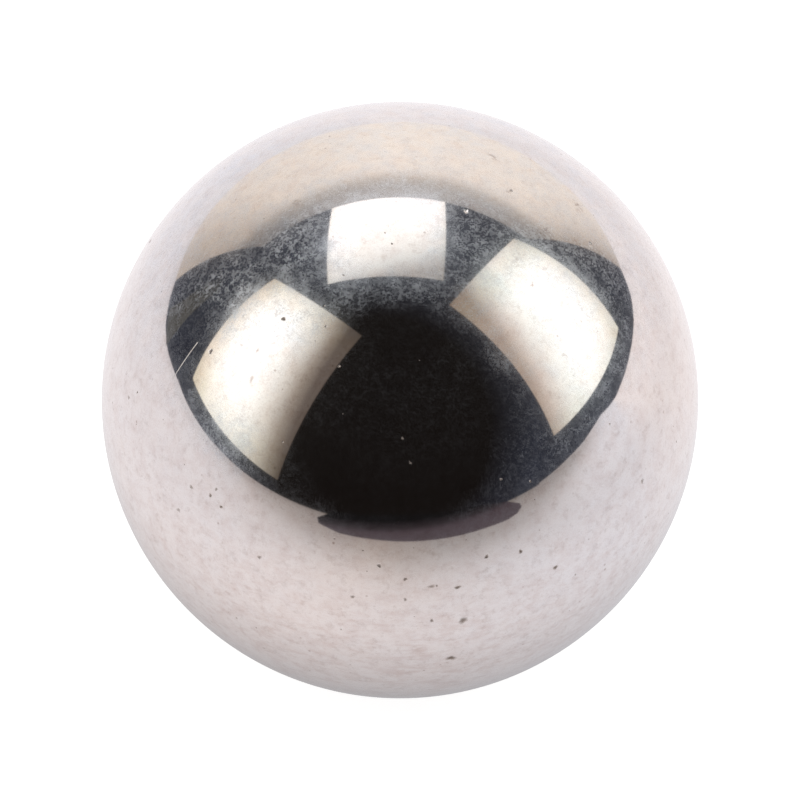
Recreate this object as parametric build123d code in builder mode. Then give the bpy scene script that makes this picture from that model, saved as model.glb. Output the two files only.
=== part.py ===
from build123d import *

import os

# A solid steel ball: one piece of through-hardened steel, ground and lapped to a true sphere.
#
# Millimetres, +Z up. The origin is the centre of the ball, which is also its centre of mass.
# A ball of this kind is headed from bar, then ground and lapped all over, so it has no flat,
# hole, seam or edge anywhere, and nothing inside it but steel.

# Driving dimension: a stock metric size
BALL_DIAMETER = 25.0

ball_radius = BALL_DIAMETER / 2

# The ball: half a disc, whose straight side lies on the axis, turned once round that axis
with BuildPart() as ball:
    with BuildSketch(Plane.XZ):
        with BuildLine():
            lapped_surface = CenterArc(center=(0, 0), radius=ball_radius, start_angle=-90, arc_size=180)
            Line(lapped_surface @ 0, lapped_surface @ 1)
        make_face()
    revolve(axis=Axis.Z)
ball.part.label = "ball"

os.makedirs("parts", exist_ok=True)
export_step(ball.part, "parts/ball.step")
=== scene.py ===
# Looks of a solid steel ball: bearing steel, hardened, ground and lapped to a mirror, with the dust,
# corrosion pits and scratches of a ball that has been used.
#
# Metres, +Z up, the ball's centre at the origin.
import logging
import math
from dataclasses import dataclass, field
from enum import Enum

import bmesh
import bpy
import numpy as np
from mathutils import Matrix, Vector


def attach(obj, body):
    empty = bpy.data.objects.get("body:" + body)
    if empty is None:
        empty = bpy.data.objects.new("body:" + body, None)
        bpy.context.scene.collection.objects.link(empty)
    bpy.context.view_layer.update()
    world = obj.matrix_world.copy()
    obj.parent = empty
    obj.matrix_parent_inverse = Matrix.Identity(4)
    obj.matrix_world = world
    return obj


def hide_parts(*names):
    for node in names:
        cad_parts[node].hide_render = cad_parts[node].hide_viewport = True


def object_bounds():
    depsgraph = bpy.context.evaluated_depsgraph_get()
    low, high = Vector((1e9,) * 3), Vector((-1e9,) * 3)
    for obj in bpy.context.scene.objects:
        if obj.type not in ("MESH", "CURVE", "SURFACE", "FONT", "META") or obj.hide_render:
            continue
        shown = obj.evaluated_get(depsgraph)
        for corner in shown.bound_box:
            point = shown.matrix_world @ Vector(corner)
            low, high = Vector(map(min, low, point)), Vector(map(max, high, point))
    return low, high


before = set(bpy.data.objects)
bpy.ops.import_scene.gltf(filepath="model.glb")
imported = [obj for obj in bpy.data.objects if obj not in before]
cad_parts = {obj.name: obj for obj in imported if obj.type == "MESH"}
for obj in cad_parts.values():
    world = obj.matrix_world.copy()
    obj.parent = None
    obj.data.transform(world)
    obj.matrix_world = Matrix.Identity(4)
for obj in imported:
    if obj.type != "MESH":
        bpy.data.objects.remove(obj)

CAD_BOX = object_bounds()
MM = 0.001
BALL_NODE = "ball"
BODY = "root"
log = logging.getLogger("steel_ball")


def linear(colour: str) -> tuple[float, float, float, float]:
    """Turns an sRGB hex colour into linear light.

    Args:
        colour: six hex digits, such as "e2d8d6".

    Returns:
        Red, green, blue and alpha, as Blender's sockets take them.
    """
    parts = [int(colour[i : i + 2], 16) / 255 for i in (0, 2, 4)]
    light = [p / 12.92 if p <= 0.04045 else ((p + 0.055) / 1.055) ** 2.4 for p in parts]
    return (*light, 1.0)


def add_node(tree: bpy.types.NodeTree, kind: str, feeds: dict | None = None, **settings) -> bpy.types.Node:
    """Adds one node to a tree, with its settings and what feeds its inputs.

    Args:
        tree: the material, world or Geometry Nodes tree.
        kind: the node's type name.
        feeds: input name or number to a plain value, a socket, or a node whose first output is meant.
        **settings: the node's own properties.

    Returns:
        The new node.
    """
    node = tree.nodes.new(kind)
    for name, value in settings.items():
        setattr(node, name, value)
    for key, value in (feeds or {}).items():
        source = value.outputs[0] if isinstance(value, bpy.types.Node) else value
        if isinstance(source, bpy.types.NodeSocket):
            tree.links.new(source, node.inputs[key])
        else:
            node.inputs[key].default_value = source
    return node


def set_stops(node: bpy.types.Node, stops: list[tuple[float, float | str]]) -> bpy.types.Node:
    """Sets a colour ramp's stops.

    Args:
        node: a Color Ramp node.
        stops: place along the ramp, 0 to 1 and in order, and the grey level or sRGB hex colour there.

    Returns:
        The same node.
    """
    elements = node.color_ramp.elements
    while len(elements) < len(stops):
        elements.new(1.0)
    for element, (place, level) in zip(elements, stops, strict=True):
        element.position = place
        element.color = linear(level) if isinstance(level, str) else (level, level, level, 1.0)
    return node


def new_material(name: str) -> tuple[bpy.types.Material, bpy.types.NodeTree]:
    """Makes an empty node material.

    Args:
        name: its name.

    Returns:
        The material and its node tree.
    """
    material = bpy.data.materials.new(name)
    material.use_nodes = True
    material.node_tree.nodes.clear()
    return material, material.node_tree


def frame_radius() -> float:
    """Gives the ball's radius, which the CAD box sets."""
    return (CAD_BOX[1].z - CAD_BOX[0].z) / 2


def heading(azimuth: float, elevation: float) -> Vector:
    """Gives a direction from two angles.

    Args:
        azimuth: degrees from +Y towards +X.
        elevation: degrees above the XY plane.

    Returns:
        The unit direction.
    """
    turn, rise = math.radians(azimuth), math.radians(elevation)
    return Vector((math.sin(turn) * math.cos(rise), math.cos(turn) * math.cos(rise), math.sin(rise)))


class Sees(Enum):
    """Which rays see a piece of the set."""

    MIRROR = "mirror"  # only what the polished steel reflects
    MIRROR_AND_LIGHTS = "mirror and lights"  # it also lights the ball and the floor
    CAMERA = "camera"  # the plain floor under the ball


def set_rays(thing: bpy.types.Object, sees: Sees) -> None:
    """Limits which rays meet a piece of the set.

    Args:
        thing: the piece.
        sees: the rays that meet it.
    """
    thing.visible_camera = sees is Sees.CAMERA
    thing.visible_glossy = sees is not Sees.CAMERA
    thing.visible_diffuse = sees is not Sees.MIRROR
    thing.visible_shadow = sees is Sees.CAMERA
    thing.visible_transmission = False
    thing.visible_volume_scatter = False


def flat_piece(name: str, corners: list[Vector], material: bpy.types.Material) -> bpy.types.Object:
    """Makes one flat face of the set, with its local square stored as a UV map.

    Args:
        name: the object's name.
        corners: its corners in order.
        material: what it is made of.

    Returns:
        The object, at the origin.
    """
    mesh = bpy.data.meshes.new(name)
    mesh.from_pydata([tuple(c) for c in corners], [], [list(range(len(corners)))])
    if len(corners) == 4:
        square = mesh.uv_layers.new(name="square")
        for loop, place in zip(square.data, ((0, 0), (1, 0), (1, 1), (0, 1)), strict=True):
            loop.uv = place
    mesh.materials.append(material)
    thing = bpy.data.objects.new(name, mesh)
    bpy.context.scene.collection.objects.link(thing)
    return thing


@dataclass(frozen=True)
class Softbox:
    """A rectangular softbox: a white diffuser, hottest inside its edges, that fades towards one side."""

    name: str
    centre: tuple[float, float, float]
    faces: tuple[float, float]  # azimuth and elevation of the way it points
    roll: float  # degrees, about the way it points
    width: float
    height: float
    across: list[tuple[float, str]]  # the light sideways over the diffuser: share of the width, colour
    upward: list[tuple[float, str]]  # and up it
    across_lean: tuple[float, float] = (0.0, 0.0)  # the sideways light's slide per unit up, and at 0
    upward_lean: tuple[float, float] = (0.0, 0.0)  # the upward light's, per unit sideways, and at 0
    strength: float = 1.8

    def frame(self) -> tuple[Vector, Vector]:
        """Works out the diffuser's own axes.

        Returns:
            Its sideways axis and its upward axis.
        """
        out = heading(*self.faces)
        level = Vector((0, 0, 1)) if abs(out.z) < 0.95 else Vector((0, 1, 0))
        across = level.cross(out).normalized()
        upward = out.cross(across)
        turn = math.radians(self.roll)
        return (
            across * math.cos(turn) + upward * math.sin(turn),
            upward * math.cos(turn) - across * math.sin(turn),
        )

    def material(self) -> bpy.types.Material:
        """Makes the lit diffuser: the light across it times the light up it."""
        material, tree = new_material(f"{self.name}_diffuser")
        place = add_node(tree, "ShaderNodeUVMap", uv_map="square")
        split = add_node(tree, "ShaderNodeSeparateXYZ", {0: place}).outputs
        falls = []
        for own, other, lean, stops in (
            (split[0], split[1], self.across_lean, self.across),
            (split[1], split[0], self.upward_lean, self.upward),
        ):
            slide = add_node(
                tree, "ShaderNodeMath", {0: other, 1: lean[0], 2: lean[1]}, operation="MULTIPLY_ADD"
            )
            run = add_node(tree, "ShaderNodeMath", {0: own, 1: slide}, operation="ADD")
            falls.append(set_stops(add_node(tree, "ShaderNodeValToRGB", {0: run}), stops))
        light = add_node(
            tree,
            "ShaderNodeMix",
            {0: 1.0, 6: falls[0], 7: falls[1]},
            data_type="RGBA",
            blend_type="MULTIPLY",
        )
        glow = add_node(tree, "ShaderNodeEmission", {"Color": light.outputs[2], "Strength": self.strength})
        add_node(tree, "ShaderNodeOutputMaterial", {0: glow})
        return material

    def build(self) -> bpy.types.Object:
        """Builds the diffuser as a lit rectangle."""
        across, upward = (axis * size / 2 for axis, size in zip(self.frame(), (self.width, self.height)))
        middle = Vector(self.centre)
        corners = [middle + across * a + upward * b for a, b in ((-1, -1), (1, -1), (1, 1), (-1, 1))]
        panel = flat_piece(self.name, corners, self.material())
        set_rays(panel, Sees.MIRROR_AND_LIGHTS)
        return panel


@dataclass
class Studio:
    """The set round the ball: white table and backdrop, glowing with painted shade, three softboxes, a dark
    room, and the floor.
    """

    radius: float
    softboxes: list[Softbox]
    backdrop_distance: float = 0.45
    backdrop_left: float = -0.605
    backdrop_right: float = 0.54
    backdrop_height: float = 0.52
    backdrop_brightness: float = 1.16
    table_brightness: float = 1.05
    # the table's shade and its spread to the sides are painted into its glow
    shade_depth: float = 0.2  # how far in front of the ball the table's shade grows
    shade_left: float = 0.095  # how far to the left it takes to double that, and to the right
    shade_right: float = 0.18
    floor_radius: float = 3.0
    floor_glow: float = 0.78  # what the camera sees on top of the lit paint, so that it is white
    room_fill: float = 0.55  # the plain light on all but the polished steel
    blackest: Vector = field(default_factory=lambda: heading(191.6, 34.6))  # the darkest way in the room
    table_outline: tuple[tuple[float, float], ...] = (
        (-1.8, -0.75),
        (1.8, -0.75),
        (1.8, 0.15),
        (0.72, 0.21),
        (0.36, 0.18),
        (0.32, 0.21),
        (0.54, 0.45),
        (-0.605, 0.45),
        (-0.42, 0.26),
        (-0.34, 0.16),
        (-0.45, 0.14),
        (-0.7, 0.16),
        (-1.8, 0.22),
    )
    table_lip: tuple[tuple[float, float, float], ...] = (
        (1.20, 0.05, -0.0125),
        (1.20, 0.05, -0.0080),
        (1.17, -0.05, 0.0100),
        (1.13, -0.15, 0.0380),
        (1.095, -0.25, 0.0330),
        (1.06, -0.35, 0.0220),
        (1.004, -0.51, 0.0165),
        (0.962, -0.63, 0.0070),
        (0.92, -0.75, -0.0040),
        (0.92, -0.75, -0.0125),
    )
    flag_outline: tuple[tuple[float, float, float], ...] = (
        (-0.349, 0.122, -0.0125),
        (-0.346, 0.123, 0.017),
        (-0.317, 0.130, 0.137),
        (-0.303, 0.156, 0.142),
        (-0.325, 0.167, 0.043),
        (-0.322, 0.177, -0.003),
    )
    stop_outline: tuple[tuple[float, float, float], ...] = (
        (-0.0630, -0.122, -0.0085),
        (-0.0450, -0.123, -0.0125),
        (-0.0260, -0.1215, -0.0125),
        (0.0000, -0.122, -0.0125),
        (0.0210, -0.1215, -0.0125),
        (0.0460, -0.119, -0.0125),
        (0.0600, -0.109, -0.0125),
        (0.0760, -0.103, -0.0125),
        (0.0880, -0.105, -0.0115),
        (0.0965, -0.108, -0.0080),
        (0.0950, -0.108, -0.0040),
        (0.0810, -0.108, 0.0030),
        (0.0580, -0.112, 0.0080),
        (0.0000, -0.122, 0.0100),
        (-0.0500, -0.122, 0.0060),
        (-0.0648, -0.122, -0.0035),
    )

    @property
    def ground(self) -> float:
        """The height of the surface that the ball lies on."""
        return -self.radius

    def table_material(self) -> bpy.types.Material:
        """Makes the white table as the steel reflects it: a glow with painted shade under the ball and
        towards its front.
        """
        material, tree = new_material("table_glow_painted_shade")
        place = add_node(tree, "ShaderNodeNewGeometry").outputs["Position"]
        x, y, _ = add_node(tree, "ShaderNodeSeparateXYZ", {0: place}).outputs
        # painted shade in front of the ball, which fans out to both sides, faster to the left
        left = add_node(tree, "ShaderNodeMath", {0: x, 1: -1 / self.shade_left}, operation="MULTIPLY")
        right = add_node(tree, "ShaderNodeMath", {0: x, 1: 1 / self.shade_right}, operation="MULTIPLY")
        fan = add_node(tree, "ShaderNodeMath", {0: left, 1: right}, operation="MAXIMUM")
        fan = add_node(tree, "ShaderNodeMath", {0: fan, 1: 1.0}, operation="ADD")
        along = add_node(tree, "ShaderNodeMath", {0: y, 1: fan}, operation="DIVIDE")
        along = add_node(
            tree, "ShaderNodeMapRange", {"Value": along, "From Min": -self.shade_depth, "From Max": 0.0}
        )
        front = set_stops(
            add_node(tree, "ShaderNodeValToRGB", {0: along}),
            [(0.0, 0.20), (0.25, 0.28), (0.47, 0.40), (0.6, 0.46), (0.675, 0.52), (0.74, 0.62)]
            + [(0.8, 0.76), (0.85, 0.86), (0.91, 0.95), (1.0, 1.0)],
        )
        # painted shade: the left of the table glows a little darker
        side = add_node(tree, "ShaderNodeMapRange", {"Value": x, "From Min": -0.42, "From Max": 0.15})
        side = set_stops(
            add_node(tree, "ShaderNodeValToRGB", {0: side}),
            [(0.0, 0.80), (0.3, 0.91), (0.66, 0.95), (0.69, 0.99), (0.725, 1.01), (0.775, 1.0)]
            + [(0.81, 0.92), (0.84, 0.92), (0.885, 0.97), (1.0, 0.99)],
        )
        # the ball's contact shadow, painted into the glow, which leans a millimetre to the left
        shifted = add_node(tree, "ShaderNodeMath", {0: x, 1: 0.001}, operation="ADD")
        flat = add_node(tree, "ShaderNodeCombineXYZ", {0: shifted, 1: y})
        away = add_node(tree, "ShaderNodeVectorMath", {0: flat}, operation="LENGTH").outputs["Value"]
        away = add_node(tree, "ShaderNodeMath", {0: away, 1: 3 * self.radius}, operation="DIVIDE")
        shadow = set_stops(
            add_node(tree, "ShaderNodeValToRGB", {0: away}),
            [(0.0, 0.30), (0.21, 0.48), (0.27, 0.58), (0.34, 0.69), (0.45, 0.83), (0.53, 0.91)]
            + [(0.67, 0.96), (0.86, 0.99), (1.0, 1.0)],
        )
        # the painted shade in front is warmer
        tint = set_stops(
            add_node(tree, "ShaderNodeValToRGB", {0: front}),
            [(0.3, "fff3ea"), (0.6, "fff7f4"), (0.95, "fffbfd")],
        )
        # painted cooler light from the front right, and half as much of it from the left
        cool = add_node(tree, "ShaderNodeMapRange", {"Value": x, "From Min": -0.01, "From Max": 0.02})
        near = add_node(tree, "ShaderNodeMapRange", {"Value": y, "From Min": 0.012, "From Max": -0.006})
        cool = add_node(tree, "ShaderNodeMath", {0: cool, 1: near}, operation="MULTIPLY")
        aside = add_node(
            tree, "ShaderNodeMapRange", {"Value": x, "From Min": -0.01, "From Max": -0.035, "To Max": 0.5}
        )
        cool = add_node(tree, "ShaderNodeMath", {0: cool, 1: aside}, operation="MAXIMUM")
        tint = add_node(
            tree,
            "ShaderNodeMix",
            {0: cool, 6: tint, 7: linear("f3f9ff")},
            data_type="RGBA",
            blend_type="MULTIPLY",
        ).outputs[2]
        level = front
        for share in (shadow, side, self.table_brightness):
            level = add_node(tree, "ShaderNodeMath", {0: level, 1: share}, operation="MULTIPLY")
        glow = add_node(tree, "ShaderNodeEmission", {"Color": tint, "Strength": level})
        add_node(tree, "ShaderNodeOutputMaterial", {0: glow})
        return material

    def build_table(self) -> None:
        """Builds the white table top, which only the steel sees: it glows, with painted shade."""
        corners = [Vector((x, y, self.ground)) for x, y in self.table_outline]
        paper = self.table_material()
        set_rays(flat_piece("table_top", corners, paper), Sees.MIRROR)
        lip = [Vector((x, y, z)) for x, y, z in self.table_lip]
        set_rays(flat_piece("table_lip", lip, paper), Sees.MIRROR)

    def backdrop_material(self) -> bpy.types.Material:
        """Makes the backdrop: a warm white glow with painted shade, darker towards its sides, greyer along
        its top edge.
        """
        material, tree = new_material("backdrop_glow_painted_shade")
        place = add_node(tree, "ShaderNodeUVMap", uv_map="square")
        split = add_node(tree, "ShaderNodeSeparateXYZ", {0: place})
        # painted shade across the sheet: darker towards both sides
        across = set_stops(
            add_node(tree, "ShaderNodeValToRGB", {0: split.outputs[0]}),
            [(0.0, 0.54), (0.11, 0.58), (0.276, 0.84), (0.52, 1.0), (0.773, 0.93), (0.89, 0.78)]
            + [(1.0, 0.46)],
        )
        # painted shade up the sheet: darker and greyer along the top edge
        upward = set_stops(
            add_node(tree, "ShaderNodeValToRGB", {0: split.outputs[1]}),
            [(0.0, 0.98), (0.47, 1.0), (0.60, 0.96), (0.71, 0.59), (0.82, 0.48), (0.90, 0.51)]
            + [(1.0, 0.4)],
        )
        level = across
        for share in (upward, self.backdrop_brightness):
            level = add_node(tree, "ShaderNodeMath", {0: level, 1: share}, operation="MULTIPLY")
        # warmer where the painted shade across it is deeper
        tint = set_stops(
            add_node(tree, "ShaderNodeValToRGB", {0: across}), [(0.0, "fae9d8"), (1.0, "fff7ed")]
        )
        cool = add_node(
            tree, "ShaderNodeMapRange", {"Value": split.outputs[1], "From Min": 0.69, "From Max": 0.86}
        )
        tint = add_node(
            tree, "ShaderNodeMix", {0: cool, 6: tint, 7: linear("f8f6f4")}, data_type="RGBA"
        )
        glow = add_node(tree, "ShaderNodeEmission", {"Color": tint.outputs[2], "Strength": level})
        add_node(tree, "ShaderNodeOutputMaterial", {0: glow})
        return material

    def build_backdrop(self) -> None:
        """Builds the sheet of paper that stands behind the ball, as a glowing sheet with painted shade."""
        a, b, y = self.backdrop_left, self.backdrop_right, self.backdrop_distance
        low, high = self.ground, self.backdrop_height
        corners = [Vector(c) for c in ((a, y, low), (b, y, low), (b, y, high), (a, y, high))]
        sheet = flat_piece("backdrop", corners, self.backdrop_material())
        set_rays(sheet, Sees.MIRROR_AND_LIGHTS)

    def build_flag(self) -> None:
        """Builds the grey cloth flag that stands on the table, at the back left, as a flat grey glow:
        painted light in place of a lit cloth.
        """
        material, tree = new_material("grey_flag_painted_glow")
        glow = add_node(tree, "ShaderNodeEmission", {"Color": linear("52524e")})
        add_node(tree, "ShaderNodeOutputMaterial", {0: glow})
        set_rays(flat_piece("grey_flag", [Vector(c) for c in self.flag_outline], material), Sees.MIRROR)

    def build_stop(self) -> None:
        """Builds the low black rubber stop in front of the ball as a glowing piece, with painted light
        along its foot.
        """
        material, tree = new_material("black_stop_painted_glow")
        place = add_node(tree, "ShaderNodeNewGeometry").outputs["Position"]
        x, _, z = add_node(tree, "ShaderNodeSeparateXYZ", {0: place}).outputs
        lean = add_node(tree, "ShaderNodeMath", {0: x, 1: -0.07, 2: z}, operation="MULTIPLY_ADD")
        # painted light: brighter along the foot, darker towards the top
        rise = add_node(
            tree, "ShaderNodeMapRange", {"Value": lean, "From Min": self.ground, "From Max": 0.0045}
        )
        glow = set_stops(
            add_node(tree, "ShaderNodeValToRGB", {0: rise}),
            [(0.0, "554c53"), (0.4, "50474e"), (0.65, "332e32"), (1.0, "100f10")],
        )
        glow = add_node(tree, "ShaderNodeEmission", {"Color": glow})
        add_node(tree, "ShaderNodeOutputMaterial", {0: glow})
        set_rays(flat_piece("front_stop", [Vector(c) for c in self.stop_outline], material), Sees.MIRROR)

    def build_floor(self) -> None:
        """Builds the plain floor that the camera sees: white, with the ball's soft shadow."""
        material, tree = new_material("white_floor_paint")
        paint = add_node(tree, "ShaderNodeBsdfDiffuse", {"Color": linear("c8c8c8")})
        path = add_node(tree, "ShaderNodeLightPath")
        seen = add_node(
            tree,
            "ShaderNodeMath",
            {0: path.outputs["Is Camera Ray"], 1: self.floor_glow},
            operation="MULTIPLY",
        )
        glow = add_node(tree, "ShaderNodeEmission", {"Color": linear("ffffff"), "Strength": seen})
        both = add_node(tree, "ShaderNodeAddShader", {0: paint, 1: glow})
        add_node(tree, "ShaderNodeOutputMaterial", {0: both})
        sides = 64
        turns = (2 * math.pi * i / sides for i in range(sides))
        corners = [
            Vector((self.floor_radius * math.cos(t), self.floor_radius * math.sin(t), self.ground))
            for t in turns
        ]
        set_rays(flat_piece("floor", corners, material), Sees.CAMERA)

    def build_world(self) -> None:
        """Makes the room: white to the camera, near black in the steel, and a plain fill elsewhere."""
        world = bpy.data.worlds.new("room")
        bpy.context.scene.world = world
        world.use_nodes = True
        tree = world.node_tree
        tree.nodes.clear()
        path = add_node(tree, "ShaderNodeLightPath")
        # the steel sees an unlit room: near black round the camera, a dim blue farther off
        way = add_node(tree, "ShaderNodeTexCoord").outputs["Generated"]
        facing = add_node(
            tree, "ShaderNodeVectorMath", {0: way, 1: tuple(self.blackest)}, operation="DOT_PRODUCT"
        ).outputs["Value"]
        aside = add_node(tree, "ShaderNodeMapRange", {"Value": facing, "From Min": 0.72, "From Max": 0.45})
        room = add_node(tree, "ShaderNodeValToRGB", {0: aside})
        room = set_stops(room, [(0.0, "110d0b"), (1.0, "2c303c")])
        dark = add_node(tree, "ShaderNodeBackground", {"Color": room, "Strength": 1.0})
        white = add_node(tree, "ShaderNodeBackground", {"Color": linear("ffffff"), "Strength": 1.0})
        fill = add_node(
            tree, "ShaderNodeBackground", {"Color": linear("ffffff"), "Strength": self.room_fill}
        )
        other = add_node(tree, "ShaderNodeMixShader", {0: path.outputs["Is Glossy Ray"], 1: fill, 2: dark})
        seen = add_node(tree, "ShaderNodeMixShader", {0: path.outputs["Is Camera Ray"], 1: other, 2: white})
        add_node(tree, "ShaderNodeOutputWorld", {0: seen})

    def build(self) -> None:
        """Builds the whole set."""
        self.build_world()
        self.build_floor()
        self.build_table()
        self.build_backdrop()
        self.build_flag()
        self.build_stop()
        for softbox in self.softboxes:
            softbox.build()


@dataclass(frozen=True)
class ViewPoint:
    """The camera: a long lens that looks down on the ball."""

    elevation: float = 47.0
    distance: float = 0.5
    half_frame: float = 0.033522  # tangent of half the angle of view
    sensor: float = 36.0

    def build(self) -> None:
        """Makes the camera and hands it to the scene."""
        data = bpy.data.cameras.new("camera")
        data.sensor_width = self.sensor
        data.lens = self.sensor / 2 / self.half_frame
        data.clip_start, data.clip_end = 0.01, 20.0
        camera = bpy.data.objects.new("camera", data)
        bpy.context.scene.collection.objects.link(camera)
        back = heading(180.0, self.elevation)
        camera.location = back * self.distance
        camera.rotation_mode = "QUATERNION"
        camera.rotation_quaternion = (-back).to_track_quat("-Z", "Y")
        bpy.context.scene.camera = camera


class Mark(Enum):
    """What kind of damage a mark is."""

    PIT = "pit"  # eaten by corrosion, dark brown at the bottom
    RUST = "rust"  # a fresher, redder spot
    CHIP = "chip"  # a clean, bright nick
    STAIN = "stain"  # a brown blot without depth


@dataclass(frozen=True)
class Pit:
    """A small round mark in the steel: a shallow bowl with an uneven edge."""

    azimuth: float
    elevation: float
    radius: float  # mm
    kind: Mark = Mark.PIT
    stretch: float = 1.0  # how much longer it is sideways than upward


@dataclass(frozen=True)
class Scratch:
    """A hair-fine groove between two places on the ball."""

    start: tuple[float, float]
    end: tuple[float, float]
    width: float  # mm


@dataclass(frozen=True)
class Smear:
    """A place where the dust lies thicker or thinner, with a soft edge."""

    azimuth: float
    elevation: float
    inner: float  # mm from its middle: the change is whole up to here
    outer: float  # mm: and gone from here
    share: float  # how much dust is there, against the places round it


@dataclass(frozen=True)
class LappedSteel:
    """Through-hardened bearing steel, ground and lapped to a mirror, then used.

    The bare metal is a sharp, faintly warm mirror under a trace of oil. Fine dust lies on it: a thin veil
    that only lights up close to a lamp's reflection. Pits keep a brown oxide.
    """

    metal: str = "e8dfda"
    dull: str = "dadce3"  # fine dust scatters blue a little more
    cloud: str = "d8c8c1"
    smudge: str = "937868"
    oxide: str = "735d4c"
    rust: str = "74331f"
    roughness: float = 0.045
    oil: float = 0.3  # how much of the mirror has a film of oil
    oil_roughness: float = 0.3
    oxide_metallic: float = 0.25
    oxide_roughness: float = 0.55
    dull_roughness: tuple[float, float] = (0.2, 0.52)  # it varies from grain to grain
    covered: float = 0.43  # the share of the surface under dust
    fleck: float = 0.3  # mm between the sparse larger flecks
    fleck_cover: float = 0.6  # what a fleck adds to the covered share
    speck: float = 0.075  # mm across the finest grains of dust
    dot: float = 0.34  # mm between brown dots
    smears: tuple[Smear, ...] = (
        Smear(181.3, 44.0, 3.9, 5.5, 0.08),
        Smear(180.0, 58.5, 1.2, 2.0, 0.4),
        Smear(-158.0, 32.6, 1.0, 2.8, 0.35),
        Smear(-115.5, 38.8, 1.0, 2.2, 0.6),
        Smear(-115.0, 44.0, 0.6, 1.6, 0.5),
        Smear(-168.4, 78.6, 1.0, 2.3, 0.35),
        Smear(-141.0, 46.2, 1.2, 2.4, 0.5),
        Smear(131.0, 51.4, 1.2, 2.4, 0.5),
        Smear(-139.3, 29.1, 0.8, 2.2, 2.3),
        Smear(120.4, 33.2, 3.0, 4.5, 0.85),
        Smear(146.4, 40.6, 1.0, 2.4, 0.4),
        Smear(-113.5, 50.8, 0.8, 2.4, 2.0),
        Smear(-113.5, 67.5, 0.5, 2.0, 1.9),
    )

    def dust(
        self, tree: bpy.types.NodeTree, place: bpy.types.Node, height: bpy.types.NodeSocket
    ) -> bpy.types.NodeSocket:
        """Works out how much of the surface dust covers.

        Args:
            tree: the material's tree.
            place: the point on the ball in millimetres.
            height: its height in millimetres.

        Returns:
            The covered share, 0 to 1 or a little more.
        """
        radius = frame_radius() / MM
        # thicker in patches three millimetres wide, and in clouds two thirds of a millimetre wide
        patch = add_node(tree, "ShaderNodeTexNoise", {"Vector": place, "Scale": 0.35, "Detail": 3.0})
        thick = add_node(
            tree,
            "ShaderNodeMapRange",
            {"Value": patch, "From Min": 0.32, "From Max": 0.68, "To Min": 0.8, "To Max": 1.2},
        )
        curl = add_node(
            tree,
            "ShaderNodeTexNoise",
            {"Vector": place, "Scale": 1.5, "Detail": 4.0, "Roughness": 0.6, "Distortion": 0.3},
        )
        curl = add_node(
            tree,
            "ShaderNodeMapRange",
            {"Value": curl, "From Min": 0.36, "From Max": 0.66, "To Min": 0.55, "To Max": 1.45},
        )
        cover = thick
        for share in (curl, self.covered):
            cover = add_node(tree, "ShaderNodeMath", {0: cover, 1: share}, operation="MULTIPLY")
        # sparse larger flecks, which catch the lamps
        fleck = add_node(tree, "ShaderNodeTexVoronoi", {"Vector": place, "Scale": 1 / self.fleck}).outputs
        draw = add_node(tree, "ShaderNodeSeparateXYZ", {0: fleck["Color"]})
        size = add_node(tree, "ShaderNodeMapRange", {"Value": draw, "From Min": 0.3, "To Max": 0.21})
        flecks = add_node(
            tree,
            "ShaderNodeMapRange",
            {"Value": fleck["Distance"], "From Max": size, "To Min": 1.0, "To Max": 0.0},
        )
        cover = add_node(
            tree, "ShaderNodeMath", {0: flecks, 1: self.fleck_cover, 2: cover}, operation="MULTIPLY_ADD"
        )
        # dust settles on what faces up
        settled = add_node(
            tree,
            "ShaderNodeMapRange",
            {"Value": height, "From Min": 0.4 * radius, "From Max": 0.75 * radius, "To Min": 0.22},
        )
        cover = add_node(tree, "ShaderNodeMath", {0: cover, 1: settled}, operation="MULTIPLY")
        # and hands have thinned or heaped it here and there; the patches make each place's edge uneven
        uneven = 2.0
        middling = uneven / 2
        for smear in self.smears:
            middle = tuple(heading(smear.azimuth, smear.elevation) * radius)
            reach = add_node(tree, "ShaderNodeVectorMath", {0: place, 1: middle}, operation="DISTANCE")
            reach = add_node(
                tree,
                "ShaderNodeMath",
                {0: patch, 1: uneven, 2: reach.outputs["Value"]},
                operation="MULTIPLY_ADD",
            )
            share = add_node(
                tree,
                "ShaderNodeMapRange",
                {
                    "Value": reach,
                    "From Min": smear.inner + middling,
                    "From Max": smear.outer + middling,
                    "To Min": smear.share,
                },
                interpolation_type="SMOOTHSTEP",
            )
            cover = add_node(tree, "ShaderNodeMath", {0: cover, 1: share}, operation="MULTIPLY")
        return cover.outputs[0]

    def tarnish(
        self, tree: bpy.types.NodeTree, place: bpy.types.Node, height: bpy.types.NodeSocket
    ) -> bpy.types.NodeSocket:
        """Works out the bare metal's colour, with its clouds, streaks, smudges and dots.

        Args:
            tree: the material's tree.
            place: the point on the ball in millimetres.
            height: its height in millimetres.

        Returns:
            The colour.
        """
        # faint clouds of tarnish, up to a millimetre wide
        cloud = add_node(
            tree, "ShaderNodeTexNoise", {"Vector": place, "Scale": 1.3, "Detail": 6.0, "Roughness": 0.72}
        )
        cloud = add_node(
            tree, "ShaderNodeMapRange", {"Value": cloud, "From Min": 0.44, "From Max": 0.66}
        ).outputs[0]
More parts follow.
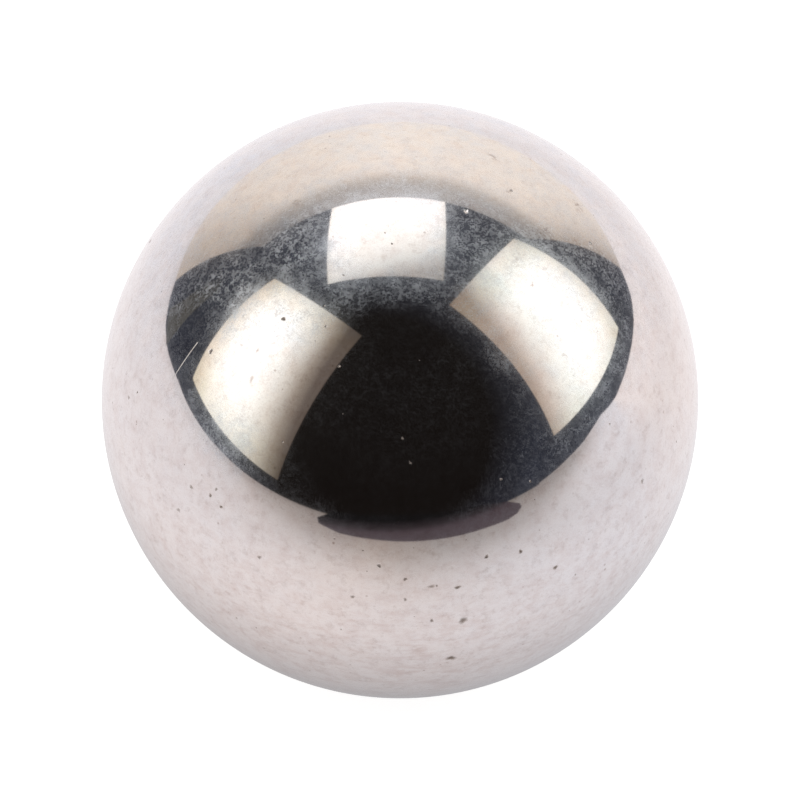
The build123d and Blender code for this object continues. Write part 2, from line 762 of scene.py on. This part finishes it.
        # wiping streaks low on the ball: they run from side to side, a third of a millimetre wide
        stretched = add_node(tree, "ShaderNodeMapping", {"Vector": place, "Scale": (0.8, 2.8, 2.8)})
        lines = add_node(
            tree,
            "ShaderNodeTexNoise",
            {"Vector": stretched, "Scale": 1.0, "Detail": 4.0, "Roughness": 0.62, "Distortion": 0.4},
        )
        lines = add_node(tree, "ShaderNodeMapRange", {"Value": lines, "From Min": 0.48, "From Max": 0.70})
        low = add_node(
            tree,
            "ShaderNodeMapRange",
            {"Value": height, "From Min": -2.0, "From Max": 4.0, "To Min": 0.75, "To Max": 0.15},
        )
        lines = add_node(tree, "ShaderNodeMath", {0: lines, 1: low}, operation="MULTIPLY")
        stain = add_node(
            tree, "ShaderNodeMath", {0: cloud, 1: 0.6, 2: lines}, operation="MULTIPLY_ADD", use_clamp=True
        )
        colour = add_node(
            tree,
            "ShaderNodeMix",
            {0: stain, 6: linear(self.metal), 7: linear(self.cloud)},
            data_type="RGBA",
        ).outputs[2]
        # brown smudges, up to half a millimetre wide
        smudge = add_node(
            tree, "ShaderNodeTexNoise", {"Vector": place, "Scale": 2.4, "Detail": 5.0, "Roughness": 0.75}
        )
        smudge = add_node(
            tree,
            "ShaderNodeMapRange",
            {"Value": smudge, "From Min": 0.52, "From Max": 0.72, "To Max": 0.32},
        ).outputs[0]
        # and dots of the same, up to a sixth of a millimetre wide
        dot = add_node(tree, "ShaderNodeTexVoronoi", {"Vector": place, "Scale": 1 / self.dot}).outputs
        chance = add_node(tree, "ShaderNodeSeparateXYZ", {0: dot["Color"]}).outputs
        size = add_node(
            tree, "ShaderNodeMapRange", {"Value": chance[0], "From Min": 0.7, "To Max": 0.26}
        ).outputs[0]
        dots = add_node(
            tree,
            "ShaderNodeMapRange",
            {"Value": dot["Distance"], "From Max": size, "To Min": 1.0, "To Max": 0.0},
        )
        dots = add_node(tree, "ShaderNodeMath", {0: dots, 1: chance[1]}, operation="MULTIPLY")
        smudge = add_node(tree, "ShaderNodeMath", {0: smudge, 1: dots}, operation="MAXIMUM")
        # the placed blots break up into grains a sixth of a millimetre wide
        grain = add_node(tree, "ShaderNodeTexNoise", {"Vector": place, "Scale": 6.0, "Detail": 3.0})
        grain = add_node(tree, "ShaderNodeMapRange", {"Value": grain, "From Min": 0.42, "From Max": 0.62})
        blot = add_node(tree, "ShaderNodeAttribute", attribute_name=Mark.STAIN.value).outputs["Fac"]
        blot = add_node(tree, "ShaderNodeMath", {0: blot, 1: grain}, operation="MULTIPLY")
        smudge = add_node(tree, "ShaderNodeMath", {0: smudge, 1: blot}, operation="MAXIMUM")
        return add_node(
            tree, "ShaderNodeMix", {0: smudge, 6: colour, 7: linear(self.smudge)}, data_type="RGBA"
        ).outputs[2]

    def material(self) -> bpy.types.Material:
        """Makes the steel's material."""
        material, tree = new_material("lapped_bearing_steel")
        local = add_node(tree, "ShaderNodeTexCoord").outputs["Object"]
        place = add_node(tree, "ShaderNodeVectorMath", {0: local, "Scale": 1 / MM}, operation="SCALE")
        height = add_node(tree, "ShaderNodeSeparateXYZ", {0: place}).outputs[2]
        colour = self.tarnish(tree, place, height)

        # the marks in the mesh: oxide in the pits, redder rust in a few
        depths = []
        for kind, tone in ((Mark.PIT, self.oxide), (Mark.RUST, self.rust)):
            depth = add_node(tree, "ShaderNodeAttribute", attribute_name=kind.value).outputs["Fac"]
            depths.append(depth)
            colour = add_node(
                tree, "ShaderNodeMix", {0: depth, 6: colour, 7: linear(tone)}, data_type="RGBA"
            ).outputs[2]
        eaten = add_node(tree, "ShaderNodeMath", {0: depths[0], 1: depths[1]}, operation="MAXIMUM")
        metallic, rough = (
            add_node(tree, "ShaderNodeMix", {0: eaten, 2: bare, 3: rusted}).outputs[0]
            for bare, rusted in ((1.0, self.oxide_metallic), (self.roughness, self.oxide_roughness))
        )
        mirror = add_node(
            tree,
            "ShaderNodeBsdfPrincipled",
            {
                "Base Color": colour,
                "Metallic": metallic,
                "Roughness": rough,
                "Coat Weight": self.oil,
                "Coat Roughness": self.oil_roughness,
            },
        )
        # the veil: ragged clouds of dust, a third of a millimetre wide, that break up into specks
        ragged = add_node(
            tree, "ShaderNodeTexNoise", {"Vector": place, "Scale": 3.5, "Detail": 5.0, "Roughness": 0.8}
        )
        speck = add_node(tree, "ShaderNodeTexVoronoi", {"Vector": place, "Scale": 1 / self.speck}).outputs
        speck = add_node(tree, "ShaderNodeSeparateXYZ", {0: speck["Color"]})
        grain = add_node(tree, "ShaderNodeMath", {0: speck, 1: 0.3, 2: ragged}, operation="MULTIPLY_ADD")
        grain = add_node(
            tree,
            "ShaderNodeMapRange",
            {
                "Value": grain,
                "From Min": 0.57,
                "From Max": 0.92,
                "To Min": self.dull_roughness[0],
                "To Max": self.dull_roughness[1],
            },
        )
        veil = add_node(
            tree,
            "ShaderNodeBsdfPrincipled",
            {"Base Color": linear(self.dull), "Metallic": 1.0, "Roughness": grain},
        )
        clear = add_node(tree, "ShaderNodeMath", {0: 1.0, 1: eaten}, operation="SUBTRACT")
        cover = self.dust(tree, place, height)
        cover = add_node(
            tree, "ShaderNodeMath", {0: cover, 1: clear}, operation="MULTIPLY", use_clamp=True
        )
        steel = add_node(tree, "ShaderNodeMixShader", {0: cover, 1: mirror, 2: veil})
        add_node(tree, "ShaderNodeOutputMaterial", {0: steel})
        return material


@dataclass
class SteelBall:
    """The ball: a flat square sheet of equal cells folded onto a sphere, made finer where it is marked."""

    radius: float
    pits: list[Pit]
    scratches: list[Scratch]
    cells: int = 140
    finish: LappedSteel = field(default_factory=LappedSteel)
    small_pits: int = 170
    small_pit_radius: tuple[float, float] = (0.028, 0.07)  # mm
    pit_depth: float = 0.15  # of the pit's radius
    scratch_depth: float = 0.18  # of the scratch's width
    sheet_edge: float = 0.034  # the folded sheet's edges, of the radius, where the splitting starts
    finest_edge: float = 0.016  # mm, where it stops
    edges_in_mark: float = 3.2  # edges to a mark's radius
    bake_margin: float = 0.004  # what the bake map leaves free at each side, of its width
    seed: int = 11

    def fold_tree(self) -> bpy.types.NodeTree:
        """Makes the tree that folds a square sheet onto a sphere; every cell keeps the same area."""
        tree = bpy.data.node_groups.new("fold_sheet_to_sphere", "GeometryNodeTree")
        for name, kind in (("Radius", "Float"), ("Cells", "Int"), ("Finish", "Material")):
            tree.interface.new_socket(name, in_out="INPUT", socket_type=f"NodeSocket{kind}")
        tree.interface.new_socket("Mesh", in_out="OUTPUT", socket_type="NodeSocketGeometry")
        given = add_node(tree, "NodeGroupInput").outputs
        lines = add_node(tree, "ShaderNodeMath", {0: given["Cells"], 1: 1.0}, operation="ADD")
        sheet = add_node(
            tree,
            "GeometryNodeMeshGrid",
            {"Size X": 2.0, "Size Y": 2.0, "Vertices X": lines, "Vertices Y": lines},
        )
        place = add_node(tree, "ShaderNodeSeparateXYZ", {0: add_node(tree, "GeometryNodeInputPosition")})
        u, v = place.outputs[0], place.outputs[1]
        size_u = add_node(tree, "ShaderNodeMath", {0: u}, operation="ABSOLUTE")
        size_v = add_node(tree, "ShaderNodeMath", {0: v}, operation="ABSOLUTE")
        both = add_node(tree, "ShaderNodeMath", {0: size_u, 1: size_v}, operation="ADD")
        inside = add_node(tree, "ShaderNodeMath", {0: 1.0, 1: both}, operation="SUBTRACT")
        depth = add_node(tree, "ShaderNodeMath", {0: inside}, operation="ABSOLUTE")
        ring = add_node(tree, "ShaderNodeMath", {0: 1.0, 1: depth}, operation="SUBTRACT")
        lean = add_node(tree, "ShaderNodeMath", {0: size_v, 1: size_u}, operation="SUBTRACT")
        lean = add_node(tree, "ShaderNodeMath", {0: lean, 1: ring}, operation="DIVIDE")
        turn = add_node(
            tree, "ShaderNodeMath", {0: lean, 1: math.pi / 4, 2: math.pi / 4}, operation="MULTIPLY_ADD"
        )
        square = add_node(tree, "ShaderNodeMath", {0: ring, 1: ring}, operation="MULTIPLY")
        rest = add_node(tree, "ShaderNodeMath", {0: 2.0, 1: square}, operation="SUBTRACT")
        rest = add_node(tree, "ShaderNodeMath", {0: rest}, operation="SQRT")
        reach = add_node(tree, "ShaderNodeMath", {0: ring, 1: rest}, operation="MULTIPLY")
        axes = []
        for side, wave in ((u, "COSINE"), (v, "SINE")):
            sign = add_node(tree, "ShaderNodeMath", {0: side}, operation="SIGN")
            part = add_node(tree, "ShaderNodeMath", {0: turn}, operation=wave)
            part = add_node(tree, "ShaderNodeMath", {0: part, 1: reach}, operation="MULTIPLY")
            axes.append(add_node(tree, "ShaderNodeMath", {0: part, 1: sign}, operation="MULTIPLY"))
        height = add_node(tree, "ShaderNodeMath", {0: 1.0, 1: square}, operation="SUBTRACT")
        above = add_node(tree, "ShaderNodeMath", {0: inside}, operation="SIGN")
        height = add_node(tree, "ShaderNodeMath", {0: height, 1: above}, operation="MULTIPLY")
        point = add_node(tree, "ShaderNodeCombineXYZ", {0: axes[0], 1: axes[1], 2: height})
        point = add_node(
            tree, "ShaderNodeVectorMath", {0: point, "Scale": given["Radius"]}, operation="SCALE"
        )
        # the flat sheet itself is the bake map, kept a hair inside its square
        shrunk = add_node(
            tree,
            "ShaderNodeVectorMath",
            {0: sheet.outputs["UV Map"], 1: (1 - 2 * self.bake_margin,) * 3, 2: (self.bake_margin,) * 3},
            operation="MULTIPLY_ADD",
        )
        named = add_node(
            tree,
            "GeometryNodeStoreNamedAttribute",
            {"Geometry": sheet.outputs["Mesh"], "Name": "OFBake"},
            data_type="FLOAT2",
            domain="CORNER",
        )
        value = next(s for s in named.inputs if s.name == "Value" and s.enabled)
        tree.links.new(shrunk.outputs[0], value)
        folded = add_node(tree, "GeometryNodeSetPosition", {"Geometry": named, "Position": point})
        closed = add_node(tree, "GeometryNodeMergeByDistance", {"Geometry": folded, "Distance": 1e-6})
        real = add_node(tree, "GeometryNodeRealizeInstances", {"Geometry": closed})
        dressed = add_node(
            tree, "GeometryNodeSetMaterial", {"Geometry": real, "Material": given["Finish"]}
        )
        add_node(tree, "NodeGroupOutput", {0: dressed})
        return tree

    def pitting_tree(self) -> bpy.types.NodeTree:
        """Makes the tree that strews small corrosion pits over a sphere, closer in some places."""
        tree = bpy.data.node_groups.new("strew_small_pits", "GeometryNodeTree")
        for name, kind in (
            ("Radius", "Float"),
            ("Count", "Float"),
            ("Finest", "Float"),
            ("Coarsest", "Float"),
            ("Seed", "Int"),
            ("Finish", "Material"),
        ):
            tree.interface.new_socket(name, in_out="INPUT", socket_type=f"NodeSocket{kind}")
        tree.interface.new_socket("Mesh", in_out="OUTPUT", socket_type="NodeSocketGeometry")
        given = add_node(tree, "NodeGroupInput").outputs
        globe = add_node(
            tree, "GeometryNodeMeshIcoSphere", {"Radius": given["Radius"], "Subdivisions": 5}
        ).outputs["Mesh"]
        # density: count over the sphere's area, swayed by clouds about half the radius wide
        area = given["Radius"]
        for factor in (given["Radius"], 4 * math.pi):
            area = add_node(tree, "ShaderNodeMath", {0: area, 1: factor}, operation="MULTIPLY")
        density = add_node(tree, "ShaderNodeMath", {0: given["Count"], 1: area}, operation="DIVIDE")
        spot = add_node(tree, "GeometryNodeInputPosition")
        spread = add_node(tree, "ShaderNodeMath", {0: 2.2, 1: given["Radius"]}, operation="DIVIDE")
        clouds = add_node(tree, "ShaderNodeTexNoise", {"Vector": spot, "Scale": spread, "Detail": 1.0})
        sway = add_node(
            tree,
            "ShaderNodeMapRange",
            {"Value": clouds, "From Min": 0.35, "From Max": 0.65, "To Min": 0.1, "To Max": 1.9},
        )
        density = add_node(tree, "ShaderNodeMath", {0: density, 1: sway}, operation="MULTIPLY")
        spots = add_node(
            tree,
            "GeometryNodeDistributePointsOnFaces",
            {"Mesh": globe, "Density": density, "Seed": given["Seed"]},
            distribute_method="RANDOM",
        ).outputs["Points"]
        draw = add_node(tree, "FunctionNodeRandomValue", {"Seed": given["Seed"]}, data_type="FLOAT")
        chance = next(o for o in draw.outputs if o.enabled)
        # most are fine, a few coarse
        rare = add_node(tree, "ShaderNodeMath", {0: chance, 1: 2.2}, operation="POWER")
        size = add_node(
            tree,
            "ShaderNodeMapRange",
            {"Value": rare, "To Min": given["Finest"], "To Max": given["Coarsest"]},
        ).outputs[0]
        points = add_node(tree, "GeometryNodePointsToVertices", {0: spots})
        sized = add_node(
            tree,
            "GeometryNodeStoreNamedAttribute",
            {"Geometry": points, "Name": "pit_radius"},
            data_type="FLOAT",
            domain="POINT",
        )
        value = next(s for s in sized.inputs if s.name == "Value" and s.enabled)
        tree.links.new(size, value)
        real = add_node(tree, "GeometryNodeRealizeInstances", {"Geometry": sized})
        dressed = add_node(tree, "GeometryNodeSetMaterial", {"Geometry": real, "Material": given["Finish"]})
        add_node(tree, "NodeGroupOutput", {0: dressed})
        return tree

    def grow(self, name: str, tree: bpy.types.NodeTree, values: dict[str, object]) -> bpy.types.Mesh:
        """Runs a Geometry Nodes tree once and keeps its result as a plain mesh.

        Args:
            name: the new mesh's name.
            tree: the tree to run.
            values: the tree's named inputs.

        Returns:
            The plain mesh.
        """
        holder = bpy.data.objects.new(name, bpy.data.meshes.new(f"{name}_seed"))
        bpy.context.scene.collection.objects.link(holder)
        modifier = holder.modifiers.new("grow", "NODES")
        modifier.node_group = tree
        for item in tree.interface.items_tree:
            if item.item_type == "SOCKET" and item.in_out == "INPUT" and item.name in values:
                modifier[item.identifier] = values[item.name]
        depsgraph = bpy.context.evaluated_depsgraph_get()
        mesh = bpy.data.meshes.new_from_object(
            holder.evaluated_get(depsgraph), preserve_all_data_layers=True, depsgraph=depsgraph
        )
        mesh.name = name
        bpy.data.objects.remove(holder)
        return mesh

    def strewn_pits(self, finish: bpy.types.Material) -> list[Pit]:
        """Places the small pits.

        Args:
            finish: the steel, which the tree asks for.

        Returns:
            The pits.
        """
        low, high = self.small_pit_radius
        cloud = self.grow(
            "small_pits",
            self.pitting_tree(),
            {
                "Radius": self.radius,
                "Count": float(self.small_pits),
                "Finest": low,
                "Coarsest": high,
                "Seed": self.seed,
                "Finish": finish,
            },
        )
        sizes = cloud.attributes["pit_radius"].data
        pits = []
        for vertex, size in zip(cloud.vertices, sizes, strict=True):
            way = vertex.co.normalized()
            azimuth = math.degrees(math.atan2(way.x, way.y))
            pits.append(Pit(azimuth, math.degrees(math.asin(way.z)), size.value))
        bpy.data.meshes.remove(cloud)
        return pits

    def spine(self, scratch: Scratch) -> np.ndarray:
        """Lays points along a scratch, closer together than it is wide.

        Args:
            scratch: the scratch.

        Returns:
            Unit directions, one row each.
        """
        a, b = heading(*scratch.start), heading(*scratch.end)
        length = a.angle(b) * self.radius / MM
        steps = max(2, round(length / (0.7 * scratch.width)))
        return np.array([a.slerp(b, i / steps) for i in range(steps + 1)])

    def refine(self, mesh: bpy.types.Mesh, centres: np.ndarray, reaches: np.ndarray) -> None:
        """Splits the sheet's faces into ever smaller ones towards each mark.

        Args:
            mesh: the folded sheet, changed in place.
            centres: unit directions of the marks, one row each.
            reaches: how far each mark reaches, in metres.
        """
        sheet = bmesh.new()
        sheet.from_mesh(mesh)
        bmesh.ops.triangulate(sheet, faces=sheet.faces[:])
        size = self.radius * self.sheet_edge
        while size > self.finest_edge * MM:
            sheet.verts.ensure_lookup_table()
            spots = np.array([v.co for v in sheet.verts])
            spots /= np.linalg.norm(spots, axis=1, keepdims=True)
            near = np.zeros(len(spots), bool)
            for centre, reach in zip(centres, reaches, strict=True):
                if size < reach / self.edges_in_mark:
                    continue
                near |= spots @ centre > math.cos((1.05 * reach + 0.7 * size) / self.radius)
            edges = [
                e
                for e in sheet.edges
                if (near[e.verts[0].index] or near[e.verts[1].index]) and e.calc_length() > size * 0.55
            ]
            if edges:
                bmesh.ops.subdivide_edges(sheet, edges=edges, cuts=1)
                bmesh.ops.triangulate(sheet, faces=[f for f in sheet.faces if len(f.verts) > 3])
                for vertex in sheet.verts:
                    vertex.co = vertex.co.normalized() * self.radius
            size /= 2
        sheet.to_mesh(mesh)
        sheet.free()

    def carve(self, mesh: bpy.types.Mesh, pits: list[Pit]) -> None:
        """Sinks the pits and scratches into the mesh, and stores what each point became.

        Args:
            mesh: the refined sheet, changed in place.
            pits: every pit, placed and strewn.
        """
        rng = np.random.default_rng(self.seed)
        count = len(mesh.vertices)
        co = np.empty(count * 3)
        mesh.vertices.foreach_get("co", co)
        ways = co.reshape(-1, 3)
        ways /= np.linalg.norm(ways, axis=1, keepdims=True)
        depth = np.zeros(count)
        marks = {kind: np.zeros(count) for kind in (Mark.PIT, Mark.RUST, Mark.STAIN)}
        for pit in pits:
            centre = np.array(heading(pit.azimuth, pit.elevation))
            span = 2.2 * pit.stretch * pit.radius * MM / self.radius
            close = np.flatnonzero(ways @ centre > math.cos(span))
            side = np.cross((0.0, 0.0, 1.0), centre)
            side /= np.linalg.norm(side)
            rise = np.cross(centre, side)
            a = ways[close] @ side * self.radius / MM / pit.stretch
            b = ways[close] @ rise * self.radius / MM
            turn = np.arctan2(b, a)
            phases = rng.uniform(0, 2 * math.pi, 3)
            edge = 1 + 0.16 * np.sin(2 * turn + phases[0]) + 0.12 * np.sin(3 * turn + phases[1])
            edge += 0.06 * np.sin(5 * turn + phases[2])
            share = np.clip(np.hypot(a, b) / (pit.radius * edge), 0, 1)
            if pit.kind is not Mark.STAIN:
                bowl = self.pit_depth * pit.radius * MM * (1 - share**2) ** 2
                depth[close] = np.maximum(depth[close], bowl)
            if pit.kind in marks:
                level = np.clip((1 - share) / 0.7, 0, 1) * rng.uniform(0.5, 1.0)
                marks[pit.kind][close] = np.maximum(marks[pit.kind][close], level)
        for scratch in self.scratches:
            line = self.spine(scratch)
            middle = line.mean(axis=0)
            middle /= np.linalg.norm(middle)
            span = math.acos(min(1.0, float(line[0] @ middle))) + 2 * scratch.width * MM / self.radius
            close = np.flatnonzero(ways @ middle > math.cos(span))
            cosine = np.clip((ways[close] @ line.T).max(axis=1), -1, 1)
            away = np.arccos(cosine) * self.radius / MM
            share = np.clip(away / (scratch.width / 2), 0, 1)
            groove = self.scratch_depth * scratch.width * MM * (1 - share)
            depth[close] = np.maximum(depth[close], groove)
        ways = ways * (self.radius - depth)[:, None]
        mesh.vertices.foreach_set("co", ways.ravel())
        for kind, level in marks.items():
            mesh.attributes.new(kind.value, "FLOAT", "POINT").data.foreach_set("value", level)
        mesh.update()
        smooth = ways / np.linalg.norm(ways, axis=1, keepdims=True)
        own = np.empty(count * 3)
        mesh.vertex_normals.foreach_get("vector", own)
        normals = np.where((depth > 0)[:, None], own.reshape(-1, 3), smooth)
        mesh.polygons.foreach_set("use_smooth", np.ones(len(mesh.polygons), bool))
        mesh.normals_split_custom_set_from_vertices(normals.tolist())

    def build(self) -> bpy.types.Object:
        """Builds the ball, marks it and dresses it."""
        finish = self.finish.material()
        mesh = self.grow(
            "lapped_ball",
            self.fold_tree(),
            {"Radius": self.radius, "Cells": self.cells, "Finish": finish},
        )
        log.info("sheet folded: %d faces", len(mesh.polygons))
        pits = self.pits + self.strewn_pits(finish)
        centres = [heading(p.azimuth, p.elevation) for p in pits]
        reaches = [p.radius * p.stretch * MM for p in pits]
        for scratch in self.scratches:
            line = self.spine(scratch)
            centres.extend(line)
            reaches.extend([scratch.width / 2 * MM] * len(line))
        self.refine(mesh, np.array([tuple(c) for c in centres]), np.array(reaches))
        self.carve(mesh, pits)
        log.info(
            "%d pits and %d scratches: %d triangles", len(pits), len(self.scratches), len(mesh.polygons)
        )
        ball = bpy.data.objects.new("lapped_ball", mesh)
        bpy.context.scene.collection.objects.link(ball)
        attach(ball, BODY)
        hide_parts(BALL_NODE)
        return ball


PITS = [
    Pit(-132, 10, 0.12),
    Pit(-171, 6, 0.11),
    Pit(163, 14, 0.11),
    Pit(156, 13, 0.11),
    Pit(174, 0, 0.11),
    Pit(168, -1, 0.22),
    Pit(170, -13, 0.23),
    Pit(125, 12, 0.13),
    Pit(-108, 19, 0.11),
    Pit(179, 6, 0.10),
    Pit(179, 11, 0.10),
    Pit(174, 9, 0.09, stretch=2.4),
    Pit(149, 6, 0.13),
    Pit(169, 8, 0.10, stretch=1.6),
    Pit(-134, 17, 0.11),
    Pit(-152, 10, 0.11),
    Pit(-139, 18, 0.10),
    Pit(-140, 20, 0.09),
    Pit(-142, 17, 0.09),
    Pit(-176, 14, 0.11),
    Pit(92, 51, 0.12),
    Pit(78, 68, 0.11),
    Pit(-137, 56, 0.11),
    Pit(-123, 42, 0.11),
    Pit(-71, 28, 0.15, Mark.RUST),
    Pit(105, 77, 0.12, Mark.CHIP),
    Pit(119, 64, 0.26, Mark.STAIN, stretch=2.2),
    Pit(130, 45, 0.18, Mark.STAIN),
    Pit(123, 59, 0.16, Mark.STAIN),
    Pit(77, 53, 0.36, Mark.STAIN, stretch=1.6),
    Pit(96, 61, 0.24, Mark.STAIN),
    Pit(79, 69, 0.20, Mark.STAIN),
    Pit(52, 67, 0.26, Mark.STAIN, stretch=1.5),
    Pit(-88, 70, 0.22, Mark.STAIN),
    Pit(-135, 48, 0.20, Mark.STAIN),
    Pit(-120, 44, 0.16, Mark.STAIN),
    Pit(-138, 43, 0.18, Mark.STAIN),
    Pit(-130, 47, 0.14, Mark.STAIN),
    Pit(133, 32, 0.16, Mark.STAIN),
]

SCRATCHES = [
    Scratch((-118, 32), (-118, 41), 0.038),
    Scratch((163, -7), (151, -10), 0.035),
    Scratch((-60, 64), (-52, 69), 0.03),
]


SOFTBOXES = [
    Softbox(
        name="left_softbox",
        centre=(-0.649, -0.100, 0.437),
        faces=(39.6, -28.6),
        roll=5.06,
        width=0.812,
        height=0.802,
        across=[(0.03, "504944"), (0.1, "7d776f"), (0.2, "bfbeb8"), (0.3, "e3e6e3"), (0.42, "f8fbfb")]
        + [(0.7, "f6f6f2"), (0.8, "e4e2d8"), (0.9, "dad3c6"), (0.97, "cfc9bc")],
        upward=[(0.03, "e5e5dd"), (0.1, "ecebe3"), (0.22, "f9f9f7"), (0.4, "ffffff"), (0.7, "ffffff")]
        + [(0.82, "f7f7f3"), (0.9, "ebe8df"), (0.97, "d8d8d3")],
        across_lean=(-0.08, 0.03),
    ),
    Softbox(
        name="right_softbox",
        centre=(0.634, 0.142, 0.463),
        faces=(-58.9, -29.4),
        roll=2.72,
        width=0.790,
        height=0.796,
        across=[(0.03, "d3d3cb"), (0.1, "dcdcd3"), (0.25, "f0f2ee"), (0.6, "f8fbfb"), (0.7, "e4ebe9")]
        + [(0.8, "d7dad6"), (0.9, "b5aea7"), (0.97, "92867b")],
        upward=[(0.03, "eceeea"), (0.1, "f8f8f6"), (0.25, "ffffff"), (0.65, "ffffff"), (0.8, "eaece7")]
        + [(0.9, "e2e2da"), (0.97, "dad8d3")],
        across_lean=(0.16, -0.06),
    ),
    Softbox(
        name="top_softbox",
        centre=(-0.071, 0.467, 0.779),
        faces=(-163.7, -87.5),
        roll=1.59,
        width=0.592,
        height=0.791,
        across=[(0.0, "f4f4f0"), (0.06, "ffffff"), (0.94, "ffffff"), (1.0, "f4f4f0")],
        upward=[(0.022, "989794"), (0.075, "abacaa"), (0.149, "c1c5c4"), (0.224, "d2d5d4")]
        + [(0.314, "dfe1df"), (0.411, "e9ebeb"), (0.6, "ffffff")],
        upward_lean=(0.26, -0.08),
    ),
]


def main() -> None:
    """Builds the set, the camera and the ball."""
    logging.basicConfig(level=logging.INFO, format="%(name)s: %(message)s")
    scene = bpy.context.scene
    scene.view_settings.view_transform = "Standard"
    radius = frame_radius()
    ViewPoint().build()
    Studio(radius=radius, softboxes=SOFTBOXES).build()
    ball = SteelBall(radius=radius, pits=PITS, scratches=SCRATCHES).build()
    log.info("%s: %d faces", ball.name, len(ball.data.polygons))


if __name__ == "__main__":
    main()
